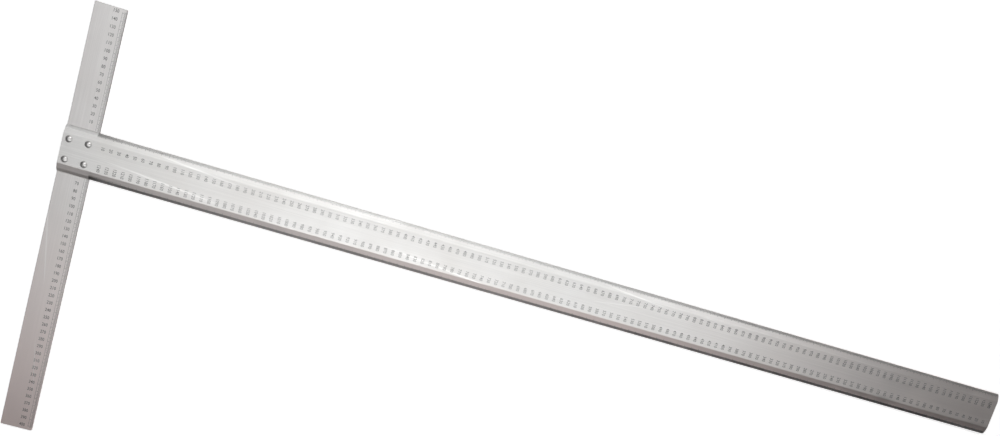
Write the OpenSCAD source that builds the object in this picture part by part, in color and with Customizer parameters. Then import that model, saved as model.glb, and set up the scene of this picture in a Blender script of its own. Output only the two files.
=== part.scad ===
// Sheet-marking T square: a long graduated blade riveted across a shorter graduated head.
// All sizes are in millimetres. X runs along the blade, Y along the head, Z up from the bench.
// The origin is on the head's underside, at the centre of the riveted joint.

/* [Blade] */
// Length of the blade, from the head's outer edge to the tip
blade_l = 1290; // [400:1:1600]
// Width across the blade's two ruling edges
blade_w = 60; // [52:1:90]
// Height of the blade at its raised flat
blade_h = 5.2; // [4.9:0.1:8]
// Width of the whole slope beside each ruling edge
bevel_w = 10.5; // [8:0.5:12]
// Width of the steeper strip at the outside of that slope
lip_w = 4; // [2:0.5:5]
// Drop across that steeper strip
lip_drop = 2.1; // [1.8:0.1:2.3]
// Thickness of the blade at its ruling edges
edge_t = 1.2; // [1.1:0.1:1.4]
// Thickness of the blade's skin between its ribs
skin_t = 1.6; // [1:0.1:2]
// Width of the solid foot under each ruling edge
foot_w = 6; // [5:0.5:7]
// Width of each solid rib under the rivets
rib_w = 10; // [8:0.5:11.5]
// Distance from the middle of a rib to the edge of the raised flat
rib_inset = 6.5; // [6:0.5:8]
// Radius where the raised flat turns into each bevel
crest_r = 3; // [0.5:0.5:6]
// Radius where the slope steepens
lip_r = 3; // [0.5:0.5:6]
// Radius along the top of the ruling edges
edge_r = 1.2; // [0.3:0.1:1.2]
// Radius along the bottom of the ruling edges
foot_r = 0.2; // [0.1:0.05:0.25]

/* [Head] */
// Length of the head
head_l = 560; // [300:1:800]
// Width of the head
head_w = 40; // [34:1:60]
// Thickness of the head
head_t = 3; // [2.5:0.1:6]
// Length of head standing above the blade's upper edge
short_arm_l = 155; // [60:1:200]
// Radius along the head's long edges
head_edge_r = 0.5; // [0.1:0.1:0.8]

/* [Rivets] */
// Diameter of a rivet's shank
shank_d = 4; // [3:0.1:5]
// Radial clearance of a shank in its holes
shank_gap = 0.05; // [0.01:0.01:0.1]
// Diameter of a rivet's domed head
dome_d = 8; // [7:0.5:10]
// Height of a rivet's domed head
dome_h = 1.6; // [1:0.1:2.4]
// Height of the straight rim below the dome
rim_h = 0.3; // [0.1:0.1:0.6]
// Diameter of the tail formed in the head's underside
tail_d = 6.6; // [5.6:0.1:7.5]
// Depth of the countersink that takes the tail
sink_depth = 1.3; // [1:0.1:1.8]
// How far the tail stops short of the head's underside
tail_recess = 0.1; // [0.05:0.05:0.3]
// Distance from the head's long edges to the rivets
rivet_edge = 8; // [7:0.5:10]

/* [Corners] */
// Size of the small chamfer on every corner seen from above
corner = 0.8; // [0.2:0.1:2]

/* [Hidden] */
$fn = 64;
flat_half = blade_w / 2 - bevel_w;
rivet_y = flat_half - rib_inset;
rivet_x = head_w / 2 - rivet_edge;
blade_x = -head_w / 2;
head_y = blade_w / 2 + short_arm_l - head_l;
shank_r = shank_d / 2;
hole_r = shank_r + shank_gap;
top_z = head_t + blade_h;
// where the slope steepens, and the drop per millimetre inside that line
lip_y = blade_w / 2 - lip_w;
lip_z = edge_t + lip_drop;
fall = (blade_h - lip_z) / (bevel_w - lip_w);
// depth of the hollows under the skin
roof = blade_h - skin_t;
// inner limit of each foot, and the skin's underside there
foot_y = blade_w / 2 - foot_w;
foot_roof = roof - fall * (foot_y - flat_half);
// radius of the sphere that rounds a rivet's dome
cap_h = dome_h - rim_h;
cap_r = (dome_d * dome_d / 4 + cap_h * cap_h) / (2 * cap_h);

// straight pieces in each rounded corner of a section
arc_steps = 6;

function unit(v) = v / norm(v);

// Arc of radius r that rounds corner b of the path a, b, c
function arc_points(a, b, c, r) =
    let (
        u = unit(a - b),
        v = unit(c - b),
        half = acos(u * v) / 2,
        centre = b + unit(u + v) * r / sin(half),
        start = b + u * r / tan(half) - centre,
        finish = b + v * r / tan(half) - centre,
        from = atan2(start[1], start[0]),
        turn = atan2(cross(start, finish), start * finish)
    )
    [for (i = [0 : arc_steps])
        centre + r * [cos(from + turn * i / arc_steps), sin(from + turn * i / arc_steps)]];

// Closed section with each corner rounded by its own radius
function rounded(points, radii) =
    let (n = len(points))
    [for (i = [0 : n - 1])
        each arc_points(points[(i + n - 1) % n], points[i], points[(i + 1) % n], radii[i])];

// Rectangle from x0, y0 to x1, y1 with its four corners cut off
module plan(x0, y0, x1, y1) {
    polygon([
        [x0 + corner, y0], [x1 - corner, y0], [x1, y0 + corner], [x1, y1 - corner],
        [x1 - corner, y1], [x0 + corner, y1], [x0, y1 - corner], [x0, y0 + corner]
    ]);
}

// One clear hole at each of the four rivets
module rivet_holes(z, h) {
    for (sx = [-1, 1]) {
        for (sy = [-1, 1]) {
            translate([sx * rivet_x, sy * rivet_y, z])
                cylinder(r = hole_r, h = h);
        }
    }
}

// Outside of the blade's section, seen along the blade
module blade_outline() {
    polygon(rounded(
        [
            [-blade_w / 2, 0], [blade_w / 2, 0], [blade_w / 2, edge_t], [lip_y, lip_z],
            [flat_half, blade_h], [-flat_half, blade_h], [-lip_y, lip_z], [-blade_w / 2, edge_t]
        ],
        [foot_r, foot_r, edge_r, lip_r, crest_r, crest_r, lip_r, edge_r]
    ));
}

// Hollow between a rib and a foot, on the side given by s
module side_hollow(s) {
    polygon([
        [s * (rivet_y + rib_w / 2), -1], [s * (rivet_y + rib_w / 2), roof],
        [s * flat_half, roof], [s * foot_y, foot_roof], [s * foot_y, -1]
    ]);
}

// Blade section: raised flat, two bevels, two feet and two ribs
module blade_section() {
    difference() {
        blade_outline();
        translate([-rivet_y + rib_w / 2, -1])
            square([2 * rivet_y - rib_w, roof + 1]);
        side_hollow(1);
        side_hollow(-1);
    }
}

// Long extruded blade, open underneath
module blade() {
    color([0.80, 0.80, 0.81])
    difference() {
        intersection() {
            translate([blade_x, 0, head_t])
                rotate([90, 0, 90])
                    linear_extrude(height = blade_l)
                        blade_section();
            translate([0, 0, head_t - 1])
                linear_extrude(height = blade_h + 2)
                    plan(blade_x, -blade_w / 2, blade_x + blade_l, blade_w / 2);
        }
        rivet_holes(head_t - 1, blade_h + 2);
    }
}

// Head section: a flat bar with its long edges eased
module head_section() {
    polygon(rounded(
        [[-head_w / 2, 0], [head_w / 2, 0], [head_w / 2, head_t], [-head_w / 2, head_t]],
        [head_edge_r, head_edge_r, head_edge_r, head_edge_r]
    ));
}

// Head with four holes, countersunk underneath
module head() {
    color([0.74, 0.74, 0.75])
    difference() {
        intersection() {
            translate([0, head_y + head_l, 0])
                rotate([90, 0, 0])
                    linear_extrude(height = head_l)
                        head_section();
            translate([0, 0, -1])
                linear_extrude(height = head_t + 2)
                    plan(-head_w / 2, head_y, head_w / 2, head_y + head_l);
        }
        rivet_holes(-1, head_t + 2);
        for (sx = [-1, 1]) {
            for (sy = [-1, 1]) {
                translate([sx * rivet_x, sy * rivet_y, 0])
                    cylinder(r1 = tail_d / 2 + shank_gap, r2 = hole_r, h = sink_depth);
            }
        }
    }
}

// Domed rivet on the blade, its tail formed in the head's countersink
module rivet(sx, sy) {
    color([0.86, 0.86, 0.86])
    translate([sx * rivet_x, sy * rivet_y, 0])
    union() {
        intersection() {
            translate([0, 0, top_z + dome_h - cap_r])
                sphere(r = cap_r);
            translate([0, 0, top_z])
                cylinder(d = dome_d, h = dome_h + 1);
        }
        translate([0, 0, tail_recess])
            cylinder(r = shank_r, h = top_z - tail_recess);
        translate([0, 0, tail_recess])
            cylinder(
                r1 = tail_d / 2 - (tail_d / 2 - shank_r) * tail_recess / sink_depth,
                r2 = shank_r,
                h = sink_depth - tail_recess
            );
    }
}

module rivet_upper_outer() {
    rivet(-1, 1);
}

module rivet_upper_inner() {
    rivet(1, 1);
}

module rivet_lower_outer() {
    rivet(-1, -1);
}

module rivet_lower_inner() {
    rivet(1, -1);
}

blade();
head();
rivet_upper_outer();
rivet_upper_inner();
rivet_lower_outer();
rivet_lower_inner();
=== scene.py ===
"""T square: looks, markings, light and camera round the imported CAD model."""
import math

import bmesh
import bpy
from mathutils import Matrix, Vector


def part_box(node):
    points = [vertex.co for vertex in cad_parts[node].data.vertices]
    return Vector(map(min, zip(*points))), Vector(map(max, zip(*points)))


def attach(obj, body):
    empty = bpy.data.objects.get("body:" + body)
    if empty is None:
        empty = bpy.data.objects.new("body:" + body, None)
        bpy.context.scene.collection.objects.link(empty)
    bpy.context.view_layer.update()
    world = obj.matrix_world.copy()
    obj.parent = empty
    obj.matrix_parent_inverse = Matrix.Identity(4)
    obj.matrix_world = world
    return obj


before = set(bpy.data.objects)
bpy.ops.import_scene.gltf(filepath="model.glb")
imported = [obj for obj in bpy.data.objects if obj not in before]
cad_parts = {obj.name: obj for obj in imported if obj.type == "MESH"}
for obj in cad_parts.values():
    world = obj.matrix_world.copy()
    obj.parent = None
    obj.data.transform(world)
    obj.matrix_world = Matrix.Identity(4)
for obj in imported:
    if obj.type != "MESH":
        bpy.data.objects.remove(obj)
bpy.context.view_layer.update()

MM = 0.001

# ---- places taken from the CAD model ----
blade_lo, blade_hi = (Vector(v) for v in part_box("blade"))
head_lo, head_hi = (Vector(v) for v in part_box("head"))
STOP_X = head_hi.x                      # the head's inner edge, where the blade's scales start
UPPER_Y, LOWER_Y = blade_hi.y, blade_lo.y
TIP_X = blade_hi.x
RIVET_NODES = sorted(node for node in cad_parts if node.startswith("rivet"))
RIVETS = [tuple((lo + hi) / 2 for lo, hi in zip(*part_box(node)))[:2] for node in RIVET_NODES]

# ---- the blade's section, as part.scad has it ----
BEVEL = 10.5 * MM                       # width of the blade's whole slope
LIP = 4.0 * MM                          # width of its steeper outer strip
LIP_DROP = 2.1 * MM                     # drop across that strip
EDGE_T = 1.2 * MM                       # blade thickness at its ruling edges

# ---- colours and roughness ----
BLADE_TONE = (0.80, 0.795, 0.785)
HEAD_TONE = (0.77, 0.76, 0.755)
RIVET_TONE = (0.72, 0.71, 0.70)
INK_TONE = (0.05, 0.05, 0.052)
# tone of worn print, also that of the print's painted highlight
WORN_AND_HIGHLIT_INK = (0.40, 0.40, 0.40, 1.0)
# near-black tone of the painted shade in corners, creases and along edges
PAINTED_SHADE = (0.045, 0.033, 0.030, 1.0)
SATIN = 0.46                            # roughness of the drawn aluminium
HAMMERED = 0.40                         # roughness of the rivets
ALONG_GRAIN = 0.012                     # how far drawing stretches the grain, and the die's slow bands
ALONG_BANDS = 0.0015
EVENLY = (1.0, 1.0, 1.0)                # noise that isn't stretched
SCRATCHES = ((0.09, 0.3), (-0.16, 1.9))  # angle off the grain and place in the noise

# ---- painted shade ----
SOFT = 1 * MM                           # reach of a soft border between two tones
CORNER_UPPER = 55 * MM                  # x where the painted shade in each inner corner has thinned to nothing
CORNER_LOWER = 75 * MM
EDGE_STRIP = 3.4 * MM                   # width of the strip of painted shade along the lower ruling edge
RING_IN, RING_OUT = 3.9 * MM, 4.8 * MM  # radii where the painted shade round a rivet is full and gone
EDGE_IN, EDGE_OUT = 0.5 * MM, 0.2 * MM  # distances from the head's edges where the painted shade starts and is full

# ---- markings ----
TICK_W = 0.28 * MM
# how far in from the edge the half, one, five and ten millimetre marks reach
UPPER_TICKS = {1: 3.3 * MM, 5: 4.0 * MM, 10: 5.0 * MM}
LOWER_TICKS = {0.5: 3.3 * MM, 1: 3.6 * MM, 5: 4.3 * MM, 10: 5.4 * MM}
HEAD_TICKS = {1: 3.0 * MM, 5: 4.0 * MM, 10: 5.0 * MM}
RULE_W = 0.25 * MM                      # width of the line along the head's scales
EDGE_GAP = 0.8 * MM                     # bare metal left between a tick and the blade's edge
HEAD_GAP = 0.5 * MM                     # the same on the head
JOINT_MARGIN = 1 * MM                   # the head's scales stop this far from the blade
END_MARGIN = 4 * MM                     # and this far from the head's ends
INK_H = 0.02 * MM                       # how far the print stands proud
INK_SINK = 0.03 * MM                    # how deep it is keyed into the metal
DIGIT_H = 4.3 * MM
DIGIT_PITCH = 2.5 * MM                  # from digit to digit
DIGIT_SQUEEZE = 0.78                    # narrow figures
DIGIT_BOLD = 0.008                      # thickens the strokes, in font units
DIGIT_WELD = 0.0005                     # joins the outline's doubled points, in font units
DIGIT_ARC = 3                           # points in each curved stretch of a figure
LABEL_UNIT = 10                         # from number to number, in millimetres
LABEL_STEP = LABEL_UNIT * MM
LABELS = round((TIP_X - STOP_X) / LABEL_STEP)
SHORT_ARM_LABELS = (1, 15)              # first and last, counted in steps from the blade's upper edge
LONG_ARM_LABELS = (7, 40)
ROW_BLADE = 17.4 * MM                   # middle of the blade's number rows, in from the edge
ROW_HEAD = 13 * MM                      # the same on the head
SHIFT_BLADE = 0.5 * MM                  # numbers sit this far past their tick
SHIFT_HEAD = 0.9 * MM
SLACK = 1e-6                            # lets a tick stand exactly on a limit

# ---- stage and light ----
FLOOR_SIZE = 12
FLOOR_AT = (0.6, -0.1, -0.0001)
FLOOR_WHITE = (0.9, 0.9, 0.9, 1.0)
WHITE = (1.0, 1.0, 1.0, 1.0)
GLOW_NEAR, GLOW_FAR = 0.7, 1.5          # distances from the floor's middle
GLOW_LOW, GLOW_FULL = 0.42, 1.0         # the floor's glow inside the first and outside the second
BACKDROP_TOP = 0.05                     # sine of the elevation where the white surround has faded out
CEILING = 0.03                          # what metal mirrors above that
AMBIENT = 0.10                          # light from all round
# the softboxes: x and y in metres, power in watts
LAMPS = (
    (-0.4, -0.5, 1.2), (-0.4, 0.1, 1.3), (-0.4, 0.5, 1.2), (-0.4, 1.0, 1.2), (0.1, -0.5, 1.9),
    (0.1, 1.0, 4.1), (0.45, -0.5, 2.6), (0.45, 1.0, 3.8), (0.8, -0.5, 1.2), (0.8, 1.0, 1.4),
    (1.3, -0.5, 1.0), (1.3, 0.1, 1.8), (1.3, 0.5, 1.3), (1.3, 1.0, 2.1), (1.1, -1.2, 1.3),
)
LAMP_SIZE = 0.6
LAMP_Z = 1.3
LAMP_RISE = 0.003                       # each hangs this much higher, so that no two overlap in one plane

# ---- camera: fitted to the printed scales ----
CAMERA_AT = Vector((427.4, 169.3, 1015.1)) * MM
RIGHT = Vector((0.956259, 0.288258, 0.049761))
DOWN = Vector((0.277696, -0.948031, 0.155313))
AHEAD = Vector((0.091945, -0.134702, -0.986611))
SENSOR = 36                             # in millimetres
FOCAL = 785.9 / 1000                    # in image widths
SHIFT_X, SHIFT_Y = 0.0155, 0.026
FARTHEST = 50                           # metres that the camera sees


def new_material(name):
    """A material with an empty node tree."""
    mat = bpy.data.materials.new(name)
    mat.use_nodes = True
    mat.node_tree.nodes.clear()
    return mat, mat.node_tree.nodes, mat.node_tree.links


def principled(name, metallic):
    """A material with one principled shader, ready for its links."""
    mat, nodes, links = new_material(name)
    out = nodes.new("ShaderNodeOutputMaterial")
    bsdf = nodes.new("ShaderNodeBsdfPrincipled")
    bsdf.inputs["Metallic"].default_value = metallic
    links.new(bsdf.outputs[0], out.inputs["Surface"])
    return mat, nodes, links, bsdf


def ramp(nodes, links, source, lo, hi, out_lo, out_hi):
    """Maps source from lo..hi to out_lo..out_hi, held at both ends."""
    node = nodes.new("ShaderNodeMapRange")
    node.clamp = True
    for socket, value in zip(node.inputs[1:5], (lo, hi, out_lo, out_hi)):
        socket.default_value = value
    links.new(source, node.inputs[0])
    return node.outputs[0]


def noise(nodes, links, stretch, scale, detail, rough, offset=(0.0, 0.0, 0.0), turn=0.0):
    """Noise with scale features to the metre of the object's own coordinates, which are turned about Z
    and then multiplied by stretch."""
    coord = nodes.new("ShaderNodeTexCoord")
    mapping = nodes.new("ShaderNodeMapping")
    mapping.inputs["Scale"].default_value = stretch
    mapping.inputs["Location"].default_value = offset
    vector = coord.outputs["Object"]
    if turn:
        spin = nodes.new("ShaderNodeMapping")
        spin.inputs["Rotation"].default_value = (0.0, 0.0, turn)
        links.new(vector, spin.inputs["Vector"])
        vector = spin.outputs["Vector"]
    tex = nodes.new("ShaderNodeTexNoise")
    tex.inputs["Scale"].default_value = scale
    tex.inputs["Detail"].default_value = detail
    tex.inputs["Roughness"].default_value = rough
    links.new(vector, mapping.inputs["Vector"])
    links.new(mapping.outputs["Vector"], tex.inputs["Vector"])
    return tex.outputs["Fac"]


def math_node(nodes, links, op, a, b):
    """Result of op on a and b, each a number or a socket."""
    node = nodes.new("ShaderNodeMath")
    node.operation = op
    for i, v in enumerate((a, b)):
        if isinstance(v, (int, float)):
            node.inputs[i].default_value = v
        else:
            links.new(v, node.inputs[i])
    return node.outputs[0]


def times(nodes, links, a, b):
    """One mask or colour amount times another."""
    return math_node(nodes, links, "MULTIPLY", a, b)


def highest(nodes, links, masks):
    """The largest of several masks."""
    top = masks[0]
    for mask in masks[1:]:
        top = math_node(nodes, links, "MAXIMUM", top, mask)
    return top


def scaled(tone, factor):
    """The tone times a number, or times one number a channel, no brighter than white."""
    factors = factor if isinstance(factor, tuple) else (factor,) * 3
    return tuple(min(1.0, c * k) for c, k in zip(tone, factors)) + (1.0,)


def mix_colour(nodes, links, fac, a, b):
    """Colour a where fac is 0 and b where it is 1, each a colour or a socket."""
    node = nodes.new("ShaderNodeMix")
    node.data_type = "RGBA"
    links.new(fac, node.inputs["Factor"])
    for name, v in (("A", a), ("B", b)):
        socket = [s for s in node.inputs if s.name == name and s.type == "RGBA"][0]
        if isinstance(v, tuple):
            socket.default_value = v
        else:
            links.new(v, socket)
    return [s for s in node.outputs if s.type == "RGBA"][0]


def place_xyz(nodes, links):
    """The object's own x, y and z: on every piece, those of the CAD frame."""
    coord = nodes.new("ShaderNodeTexCoord")
    split = nodes.new("ShaderNodeSeparateXYZ")
    links.new(coord.outputs["Object"], split.inputs[0])
    return split.outputs[0], split.outputs[1], split.outputs[2]


def away(nodes, links, x, y):
    """Distance, seen from above, from the point x, y."""
    px, py, _ = place_xyz(nodes, links)
    dx = math_node(nodes, links, "SUBTRACT", px, x)
    dy = math_node(nodes, links, "SUBTRACT", py, y)
    squares = math_node(nodes, links, "ADD", times(nodes, links, dx, dx), times(nodes, links, dy, dy))
    return math_node(nodes, links, "SQRT", squares, 0.0)


def add_bump(nodes, links, bsdf, height, strength, distance):
    """Raises the surface where height is 1, by at most distance."""
    bump = nodes.new("ShaderNodeBump")
    bump.inputs["Strength"].default_value = strength
    bump.inputs["Distance"].default_value = distance
    links.new(height, bump.inputs["Height"])
    links.new(bump.outputs["Normal"], bsdf.inputs["Normal"])


def lower_slope(nodes, links, y):
    """1 on the blade's lower slope, 0 on its raised flat."""
    crest = LOWER_Y + BEVEL
    return ramp(nodes, links, y, crest - SOFT, crest + SOFT, 1.0, 0.0)


def blade_grime(nodes, links):
    """Painted shade round the rivets, in the head's inner corners, along the lower ruling edge and down the
    lower slope.
    """
    x, y, _ = place_xyz(nodes, links)
    past_head = ramp(nodes, links, x, STOP_X - 0.6 * MM, STOP_X + 0.6 * MM, 0.0, 1.0)
    # across the blade: where each band of painted shade lies
    upper = ramp(nodes, links, y, UPPER_Y - 6 * MM, UPPER_Y - 2.5 * MM, 0.0, 1.0)
    lower = ramp(nodes, links, y, LOWER_Y + 3.5 * MM, LOWER_Y + 7 * MM, 1.0, 0.0)
    strip = ramp(nodes, links, y, LOWER_Y + EDGE_STRIP, LOWER_Y + EDGE_STRIP + SOFT, 1.0, 0.0)
    # along the blade: the painted shade in the strip is weakest between near and far
    near = ramp(nodes, links, x, STOP_X, 300 * MM, 0.60, 0.45)
    far = ramp(nodes, links, x, 500 * MM, 1150 * MM, 0.45, 0.96)
    edges = [
        times(nodes, links, upper, ramp(nodes, links, x, STOP_X, CORNER_UPPER, 0.45, 0.0)),
        times(nodes, links, lower, ramp(nodes, links, x, STOP_X, CORNER_LOWER, 0.85, 0.0)),
        times(nodes, links, strip, highest(nodes, links, [near, far])),
        times(nodes, links, lower_slope(nodes, links, y),
              ramp(nodes, links, x, 950 * MM, TIP_X, 0.0, 0.28)),
    ]
    rings = [ramp(nodes, links, away(nodes, links, rivet_x, rivet_y), RING_IN, RING_OUT, 0.5, 0.0)
             for rivet_x, rivet_y in RIVETS]
    return highest(nodes, links, [times(nodes, links, past_head, highest(nodes, links, edges))] + rings)


def head_grime(nodes, links):
    """Painted shade in the two lines where the blade crosses the head, and along the head's edges."""
    x, y, _ = place_xyz(nodes, links)
    lines = [
        times(nodes, links, ramp(nodes, links, y, UPPER_Y - SOFT, UPPER_Y, 0.0, 1.0),
              ramp(nodes, links, y, UPPER_Y + 0.2 * MM, UPPER_Y + 0.9 * MM, 0.15, 0.0)),
        times(nodes, links, ramp(nodes, links, y, LOWER_Y, LOWER_Y + SOFT, 1.0, 0.0),
              ramp(nodes, links, y, LOWER_Y - 1.6 * MM, LOWER_Y - 0.3 * MM, 0.0, 0.25)),
    ]
    edges = [
        ramp(nodes, links, x, STOP_X - EDGE_IN, STOP_X - EDGE_OUT, 0.0, 0.6),
        ramp(nodes, links, x, head_lo.x + EDGE_OUT, head_lo.x + EDGE_IN, 0.45, 0.0),
        ramp(nodes, links, y, head_hi.y - EDGE_IN, head_hi.y - EDGE_OUT, 0.0, 0.45),
        ramp(nodes, links, y, head_lo.y + EDGE_OUT, head_lo.y + EDGE_IN, 0.45, 0.0),
    ]
    return highest(nodes, links, lines + edges)


def blade_rubbed(nodes, links):
    """Painted highlight: brighter metal on the upper lip over the head."""
    x, y, _ = place_xyz(nodes, links)
    lip_y = UPPER_Y - LIP
    return times(nodes, links, ramp(nodes, links, x, STOP_X - SOFT, STOP_X, 0.9, 0.0),
                 ramp(nodes, links, y, lip_y - 0.5 * MM, lip_y, 0.0, 1.0))


def blade_tarnish(nodes, links):
    """Painted warm shade: a warmer tint towards the blade's tip and down its lower slope."""
    x, y, _ = place_xyz(nodes, links)
    tip = ramp(nodes, links, x, 700 * MM, TIP_X, 0.0, 0.4)
    growing = ramp(nodes, links, x, STOP_X, 700 * MM, 0.35, 0.85)
    return highest(nodes, links, [tip, times(nodes, links, lower_slope(nodes, links, y), growing)])


def head_tarnish(nodes, links):
    """Painted warm shade: a warmer tint towards the end of the head's long arm."""
    _, y, _ = place_xyz(nodes, links)
    return ramp(nodes, links, y, -60 * MM, head_lo.y, 0.05, 0.9)


def aluminium(name, tone, along, shade_of, warm_shade_of, highlight_of=None):
    """Satin anodised aluminium, drawn along one axis, with scratches and handling wear, and with painted
    shade, painted warm shade and an optional painted highlight.
    """
    mat, nodes, links, bsdf = principled(name, 1.0)
    grain, bands = (tuple(amount if axis == along else 1.0 for axis in "XYZ")
                    for amount in (ALONG_GRAIN, ALONG_BANDS))
    fine = noise(nodes, links, grain, 5200.0, 2.0, 0.6)
    lines = noise(nodes, links, grain, 900.0, 4.0, 0.6, (0.31, 0.17, 0.05))
    die = noise(nodes, links, bands, 420.0, 3.0, 0.6, (0.1, 0.7, 0.3))
    cloud = noise(nodes, links, EVENLY, 9.0, 3.0, 0.5, (1.7, 0.4, 0.2))
    smear = noise(nodes, links, EVENLY, 55.0, 4.0, 0.6, (0.6, 1.4, 0.9))
    specks = noise(nodes, links, EVENLY, 700.0, 2.0, 0.7, (0.2, 2.1, 0.3))
    # long hairline scratches, a few degrees off the grain
    hairs = [noise(nodes, links, grain, 260.0, 0.0, 0.5, (place, place, 0.0), turn)
             for turn, place in SCRATCHES]
    scratch = highest(nodes, links, [ramp(nodes, links, hair, 0.78, 0.80, 0.0, 1.0) for hair in hairs])

    # each layer: where it shows, and the tone there as a share of the metal's own
    base = mix_colour(nodes, links, ramp(nodes, links, lines, 0.3, 0.7, 0.0, 1.0),
                      scaled(tone, 0.92), scaled(tone, 1.05))
    layers = [
        # slow bands left by the extrusion die
        (ramp(nodes, links, die, 0.45, 0.72, 0.0, 0.6), 0.93),
        # handled areas are duller and a little warmer
        (ramp(nodes, links, cloud, 0.40, 0.75, 0.0, 0.4), (0.96, 0.93, 0.90)),
        # painted warm shade in the darker parts
        (warm_shade_of(nodes, links), (1.02, 0.88, 0.86)),
        # pits and small dark specks
        (ramp(nodes, links, specks, 0.69, 0.78, 0.0, 0.4), 0.65),
        (times(nodes, links, scratch, 0.5), 1.12),
    ]
    # painted highlight on the upper lip over the head
    if highlight_of:
        layers.append((highlight_of(nodes, links), 1.22))
    for mask, share in layers:
        base = mix_colour(nodes, links, mask, base, scaled(tone, share))
    # painted shade, broken up by the smears
    shade = times(nodes, links, shade_of(nodes, links), ramp(nodes, links, smear, 0.25, 0.7, 1.15, 0.8))
    links.new(mix_colour(nodes, links, shade, base, PAINTED_SHADE), bsdf.inputs["Base Color"])

    rough = ramp(nodes, links, lines, 0.3, 0.7, SATIN - 0.04, SATIN + 0.04)
    rough = math_node(nodes, links, "ADD", rough, ramp(nodes, links, cloud, 0.3, 0.7, -0.03, 0.04))
    rough = math_node(nodes, links, "ADD", rough, ramp(nodes, links, smear, 0.3, 0.7, -0.02, 0.03))
    rough = math_node(nodes, links, "SUBTRACT", rough, times(nodes, links, scratch, 0.12))
    links.new(rough, bsdf.inputs["Roughness"])

    height = math_node(nodes, links, "ADD", fine, times(nodes, links, lines, 0.6))
    height = math_node(nodes, links, "SUBTRACT", height, times(nodes, links, scratch, 0.5))
    add_bump(nodes, links, bsdf, height, 0.25, 0.05 * MM)
    return mat


def rivet_metal(name):
    """Soft aluminium, hammered over by hand."""
    mat, nodes, links, bsdf = principled(name, 1.0)
    dents = noise(nodes, links, EVENLY, 420.0, 3.0, 0.5)
    fine = noise(nodes, links, EVENLY, 3800.0, 2.0, 0.6, (0.4, 0.1, 0.7))
    base = mix_colour(nodes, links, ramp(nodes, links, dents, 0.35, 0.7, 0.0, 1.0),
                      scaled(RIVET_TONE, 1.0), scaled(RIVET_TONE, 0.8))
    # painted shade in the crease round the dome
    z = place_xyz(nodes, links)[2]
    crease = times(nodes, links, ramp(nodes, links, z, blade_lo.z, blade_hi.z, 0.0, 1.0),
                   ramp(nodes, links, z, blade_hi.z + 0.3 * MM, blade_hi.z + 1 * MM, 0.30, 0.0))
    links.new(mix_colour(nodes, links, crease, base, PAINTED_SHADE), bsdf.inputs["Base Color"])
    links.new(ramp(nodes, links, fine, 0.3, 0.7, HAMMERED - 0.06, HAMMERED + 0.08),
              bsdf.inputs["Roughness"])
    height = math_node(nodes, links, "ADD", dents, times(nodes, links, fine, 0.15))
    add_bump(nodes, links, bsdf, height, 0.35, 0.12 * MM)
    return mat


def ink(name):
    """Dark print, thinned by rubbing in patches, and paled along the middle of the blade as a painted
    highlight.
    """
    mat, nodes, links, bsdf = principled(name, 0.0)
    wear = noise(nodes, links, EVENLY, 900.0, 3.0, 0.6, (0.9, 0.2, 0.4))
    patch = noise(nodes, links, EVENLY, 26.0, 3.0, 0.6, (0.1, 0.8, 0.4))
    x = place_xyz(nodes, links)[0]
    # painted highlight: the print pales along the middle of the blade
    highlight_paling = math_node(nodes, links, "MINIMUM", ramp(nodes, links, x, 60 * MM, 220 * MM, 0.0, 0.6),
                       ramp(nodes, links, x, 500 * MM, 950 * MM, 0.6, 0.0))
    wear_and_highlight = math_node(nodes, links, "ADD", ramp(nodes, links, wear, 0.45, 0.75, 0.0, 0.35),
                     ramp(nodes, links, patch, 0.4, 0.7, 0.0, 0.3))
    wear_and_highlight = math_node(nodes, links, "MINIMUM", math_node(nodes, links, "ADD", wear_and_highlight, highlight_paling), 0.95)
    links.new(mix_colour(nodes, links, wear_and_highlight, scaled(INK_TONE, 1.0), WORN_AND_HIGHLIT_INK), bsdf.inputs["Base Color"])
    links.new(ramp(nodes, links, wear, 0.3, 0.7, 0.5, 0.7), bsdf.inputs["Roughness"])
    return mat


def dress(node, mat):
    """Gives a CAD node its one material."""
    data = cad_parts[node].data
    data.materials.clear()
    data.materials.append(mat)


dress("blade", aluminium("satin_aluminium_blade", BLADE_TONE, "X", blade_grime, blade_tarnish, blade_rubbed))
dress("head", aluminium("satin_aluminium_head", HEAD_TONE, "Y", head_grime, head_tarnish))
rivet_mat = rivet_metal("rivet_aluminium")
for node in RIVET_NODES:
    dress(node, rivet_mat)
ink_mat = ink("printed_ink")


# ---- surfaces that carry the markings ----
def blade_z(y):
    """Height of the blade's top face at y."""
    inward = min(UPPER_Y - y, y - LOWER_Y)
    if inward < LIP:
        return blade_lo.z + EDGE_T + LIP_DROP * inward / LIP
    rise = blade_hi.z - blade_lo.z - EDGE_T - LIP_DROP
    return blade_hi.z - rise * max(0.0, (BEVEL - inward) / (BEVEL - LIP))


def add_piece(name, points, faces):
    """Makes one printed piece of the points and faces."""
    mesh = bpy.data.meshes.new(name)
    mesh.from_pydata(points, [], faces)
    bm = bmesh.new()
    bm.from_mesh(mesh)
    bmesh.ops.recalc_face_normals(bm, faces=bm.faces)
    bm.to_mesh(mesh)
    bm.free()
    ob = bpy.data.objects.new(name, mesh)
    bpy.context.collection.objects.link(ob)
    ob.data.materials.append(ink_mat)
    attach(ob, "root")


def rim(polys):
    """Directed edges that belong to one face only."""
    edges = {(poly[i - 1], poly[i]) for poly in polys for i in range(len(poly))}
    return sorted(e for e in edges if (e[1], e[0]) not in edges)


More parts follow.
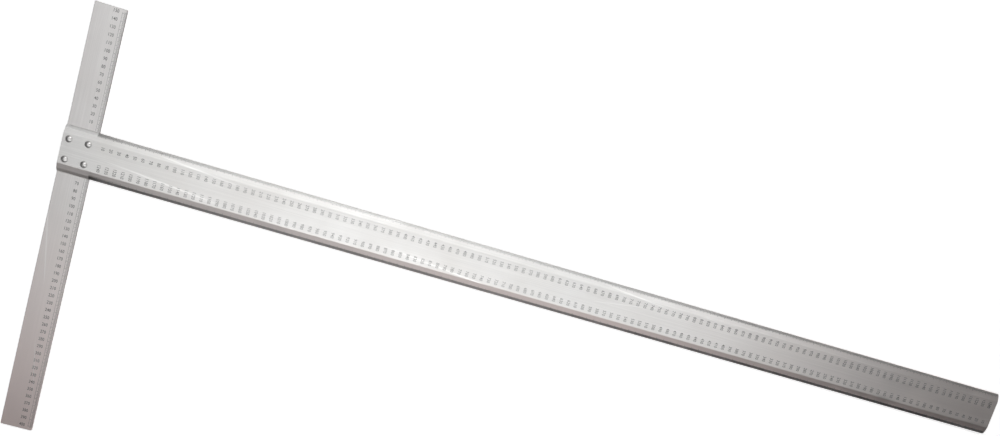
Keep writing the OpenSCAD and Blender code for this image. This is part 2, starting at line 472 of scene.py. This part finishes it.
def printed(points, faces, flat, polys, edges, height):
    """Adds the flat polys as a thin closed solid that lies on height(p)."""
    first, n = len(points), len(flat)
    for level in (INK_H, -INK_SINK):
        points.extend((p.x, p.y, height(p) + level) for p in flat)
    for poly in polys:
        faces.append(tuple(first + i for i in poly))
        faces.append(tuple(first + n + i for i in reversed(poly)))
    faces.extend((first + b, first + a, first + n + a, first + n + b) for a, b in edges)


def tick(points, faces, start, across, stops, height):
    """One printed line from start along across, over the stops, which are distances from start."""
    side = Vector((across.y, -across.x)) * (TICK_W / 2)
    flat = [start + across * s + side * sign for s in stops for sign in (1, -1)]
    polys = [(2 * i, 2 * i + 2, 2 * i + 3, 2 * i + 1) for i in range(len(stops) - 1)]
    printed(points, faces, flat, polys, rim(polys), height)


def length_of(n, lengths):
    """Reach of the tick at n millimetres: that of the coarsest mark that n is a multiple of."""
    return lengths[max(step for step in lengths if n % step == 0)]


def blade_ticks(name, edge_y, inward, lengths):
    """One whole scale of the blade, hanging inward from the edge at edge_y."""
    points, faces = [], []
    step = min(lengths)
    for i in range(1, round((TIP_X - STOP_X) / (step * MM))):
        n = i * step
        stops = [EDGE_GAP, length_of(n, lengths)]
        if stops[-1] > LIP:             # a long tick bends where the slope steepens
            stops.insert(1, LIP)
        tick(points, faces, Vector((STOP_X + n * MM, edge_y)), Vector((0, inward)), stops,
             lambda p: blade_z(p.y))
    add_piece(name, points, faces)


def rule(points, faces, y0, y1):
    """The long thin line that the head's graduations hang from."""
    x = STOP_X - HEAD_TICKS[10]
    flat = [Vector(v) for v in ((x - RULE_W, y0), (x, y0), (x, y1), (x - RULE_W, y1))]
    polys = [(0, 1, 2, 3)]
    printed(points, faces, flat, polys, rim(polys), lambda p: head_hi.z)


def head_ticks(name, y0, y1):
    """The scale of one arm of the head, counted from the blade's upper edge."""
    points, faces = [], []
    first = math.ceil((y0 - UPPER_Y) / MM - SLACK)
    last = math.floor((y1 - UPPER_Y) / MM + SLACK)
    for n in range(first, last + 1):
        stops = [HEAD_GAP, length_of(n, HEAD_TICKS)]
        tick(points, faces, Vector((STOP_X, UPPER_Y + n * MM)), Vector((-1, 0)), stops,
             lambda p: head_hi.z)
    rule(points, faces, y0, y1)
    add_piece(name, points, faces)


blade_ticks("blade_scale_upper", UPPER_Y, -1, UPPER_TICKS)
blade_ticks("blade_scale_lower", LOWER_Y, 1, LOWER_TICKS)
head_ticks("head_scale_short_arm", UPPER_Y + JOINT_MARGIN, head_hi.y - END_MARGIN)
head_ticks("head_scale_long_arm", head_lo.y + END_MARGIN, LOWER_Y - JOINT_MARGIN)

# ---- numbers ----
digit_meshes = {}


def digit_mesh(ch):
    """Points, faces and rim of one flat digit from Blender's own font."""
    if ch not in digit_meshes:
        curve = bpy.data.curves.new("digit", "FONT")
        curve.body = ch
        curve.resolution_u = DIGIT_ARC
        curve.offset = DIGIT_BOLD
        ob = bpy.data.objects.new("digit", curve)
        bpy.context.collection.objects.link(ob)
        graph = bpy.context.evaluated_depsgraph_get()
        mesh = bpy.data.meshes.new_from_object(ob.evaluated_get(graph))
        bm = bmesh.new()
        bm.from_mesh(mesh)
        bmesh.ops.remove_doubles(bm, verts=bm.verts, dist=DIGIT_WELD)
        bmesh.ops.recalc_face_normals(bm, faces=bm.faces)
        bm.verts.index_update()
        pts = [tuple(v.co[:2]) for v in bm.verts]
        polys = [tuple(v.index for v in f.verts) for f in bm.faces]
        bm.free()
        bpy.data.objects.remove(ob)
        bpy.data.curves.remove(curve)
        bpy.data.meshes.remove(mesh)
        digit_meshes[ch] = (pts, polys, rim(polys))
    return digit_meshes[ch]


def digit_scale():
    """Metres to the font unit, and the height of a digit's middle in font units."""
    ys = [p[1] for p in digit_mesh("0")[0]]
    return DIGIT_H / (max(ys) - min(ys)), (max(ys) + min(ys)) / 2


def number(points, faces, text, centre, right, up, height):
    """Writes text centred on centre, reading along right, on the level height."""
    scale, mid = digit_scale()
    pen = -DIGIT_PITCH * (len(text) - 1) / 2
    for ch in text:
        pts, polys, edges = digit_mesh(ch)
        xs = [p[0] for p in pts]
        x_mid = (max(xs) + min(xs)) / 2
        flat = [centre + right * ((x - x_mid) * scale * DIGIT_SQUEEZE + pen) + up * ((y - mid) * scale)
                for x, y in pts]
        printed(points, faces, flat, polys, edges, lambda p: height)
        pen += DIGIT_PITCH


def blade_numbers(name, row_y, value_of):
    """One row along the blade; its figures stand with their tops towards the tip."""
    points, faces = [], []
    for n in range(1, LABELS):
        centre = Vector((STOP_X + n * LABEL_STEP + SHIFT_BLADE, row_y))
        number(points, faces, str(value_of(n)), centre, Vector((0, -1)), Vector((1, 0)), blade_hi.z)
    add_piece(name, points, faces)


def head_numbers(name, first, last, sign):
    """The row of one arm of the head, counted from the blade's upper edge: sign is 1 upwards, -1 down."""
    points, faces = [], []
    for n in range(first, last + 1):
        centre = Vector((STOP_X - ROW_HEAD, UPPER_Y + sign * n * LABEL_STEP + SHIFT_HEAD))
        number(points, faces, str(n * LABEL_UNIT), centre, Vector((1, 0)), Vector((0, 1)), head_hi.z)
    add_piece(name, points, faces)


blade_numbers("blade_numbers_upper", UPPER_Y - ROW_BLADE, lambda n: n * LABEL_UNIT)
blade_numbers("blade_numbers_lower", LOWER_Y + ROW_BLADE, lambda n: (LABELS - n) * LABEL_UNIT)
head_numbers("head_numbers_short_arm", *SHORT_ARM_LABELS, 1)
head_numbers("head_numbers_long_arm", *LONG_ARM_LABELS, -1)

# ---- stage ----
bpy.ops.mesh.primitive_plane_add(size=FLOOR_SIZE, location=FLOOR_AT)
floor = bpy.context.object
floor.name = "floor"
mat, nodes, links = new_material("floor_white")
out = nodes.new("ShaderNodeOutputMaterial")
diffuse = nodes.new("ShaderNodeBsdfDiffuse")
diffuse.inputs["Color"].default_value = FLOOR_WHITE
glow = nodes.new("ShaderNodeEmission")
glow.inputs["Color"].default_value = WHITE
# round the object the lamps make up the white and leave room for its shadow; farther out the glow does
links.new(ramp(nodes, links, away(nodes, links, 0.0, 0.0), GLOW_NEAR, GLOW_FAR, GLOW_LOW, GLOW_FULL),
          glow.inputs["Strength"])
lit = nodes.new("ShaderNodeAddShader")
links.new(diffuse.outputs[0], lit.inputs[0])
links.new(glow.outputs[0], lit.inputs[1])
# the glow is seen, mirrored and refracted, but lights nothing
path = nodes.new("ShaderNodeLightPath")
seen = highest(nodes, links, [path.outputs["Is Camera Ray"], path.outputs["Is Glossy Ray"],
                              path.outputs["Is Transmission Ray"]])
pick = nodes.new("ShaderNodeMixShader")
links.new(seen, pick.inputs[0])
links.new(diffuse.outputs[0], pick.inputs[1])
links.new(lit.outputs[0], pick.inputs[2])
links.new(pick.outputs[0], out.inputs["Surface"])
floor.data.materials.append(mat)

world = bpy.data.worlds.new("studio")
bpy.context.scene.world = world
world.use_nodes = True
nodes, links = world.node_tree.nodes, world.node_tree.links
nodes.clear()
where = nodes.new("ShaderNodeTexCoord")
split = nodes.new("ShaderNodeSeparateXYZ")
links.new(where.outputs["Generated"], split.inputs[0])
# a low white surround stands all round, up to BACKDROP_TOP; above it is the dim ceiling
wall = ramp(nodes, links, split.outputs["Z"], 0.0, BACKDROP_TOP, 1.0, CEILING)
path = nodes.new("ShaderNodeLightPath")
mirrored = highest(nodes, links, [path.outputs["Is Glossy Ray"], path.outputs["Is Transmission Ray"]])
mix = nodes.new("ShaderNodeMix")
mix.inputs["A"].default_value = AMBIENT
links.new(mirrored, mix.inputs["Factor"])
links.new(wall, mix.inputs["B"])
# the camera itself sees white
level = highest(nodes, links, [mix.outputs["Result"], path.outputs["Is Camera Ray"]])
background = nodes.new("ShaderNodeBackground")
background.inputs["Color"].default_value = WHITE
links.new(level, background.inputs["Strength"])
world_out = nodes.new("ShaderNodeOutputWorld")
links.new(background.outputs[0], world_out.inputs["Surface"])


def softbox(name, at, power):
    """A square lamp that points straight down."""
    data = bpy.data.lights.new(name, "AREA")
    data.energy = power
    data.size = LAMP_SIZE
    ob = bpy.data.objects.new(name, data)
    bpy.context.collection.objects.link(ob)
    ob.location = at


for n, (x, y, power) in enumerate(LAMPS):
    softbox(f"softbox_{n}", (x, y, LAMP_Z + n * LAMP_RISE), power)

# ---- camera ----
cam_data = bpy.data.cameras.new("camera")
cam = bpy.data.objects.new("camera", cam_data)
bpy.context.collection.objects.link(cam)
facing = Matrix((RIGHT, -DOWN, -AHEAD)).transposed()
cam.matrix_world = Matrix.Translation(CAMERA_AT) @ facing.to_4x4()
cam_data.sensor_width = SENSOR
cam_data.lens = FOCAL * SENSOR
cam_data.shift_x = SHIFT_X
cam_data.shift_y = SHIFT_Y
cam_data.clip_end = FARTHEST
bpy.context.scene.camera = cam

bpy.context.scene.view_settings.view_transform = "Standard"
